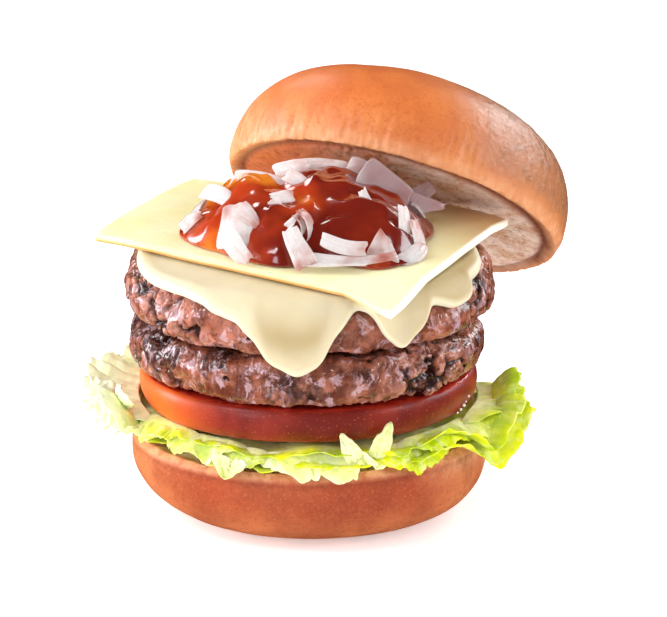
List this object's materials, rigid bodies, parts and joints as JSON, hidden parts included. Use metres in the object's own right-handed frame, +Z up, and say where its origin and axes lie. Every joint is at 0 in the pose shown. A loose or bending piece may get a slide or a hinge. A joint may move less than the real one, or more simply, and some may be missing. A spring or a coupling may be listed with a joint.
{
  "type": "double cheeseburger",
  "caption": "Stacked beef burger with melted and sliced cheese, tomato, lettuce, sauced onions and a bun whose crown leans back.",
  "frame": {"origin": "on the heel bun's flat base, under the middle of the stack", "axes": "+Z up through the stack, -Y towards the front where the melted cheese drips, +X to the viewer's right"},
  "size_m": [0.1393, 0.1564, 0.1172],
  "materials": {
    "bun_crust": "baked, satin brown crust with a paler cut face",
    "lettuce": "crisp, slightly glossy and translucent leaf",
    "tomato": "wet, glossy",
    "grilled_beef": "coarse grilled mince with a juicy sheen",
    "melted_cheese": "smooth, satin",
    "cheese": "smooth, satin",
    "onion": "wet, translucent",
    "sauce": "thick translucent glaze, glossy"
  },
  "bodies": {
    "root": {"bun_heel": "bun_crust", "lettuce_lower": "lettuce", "lettuce_upper": "lettuce", "tomato_slice": "tomato", "patty_lower": "grilled_beef", "patty_upper": "grilled_beef", "cheese_melted": "melted_cheese", "cheese_slice": "cheese", "onion_slices": "onion", "sauce": "sauce", "bun_crown": "bun_crust"}
  },
  "joints": []
}
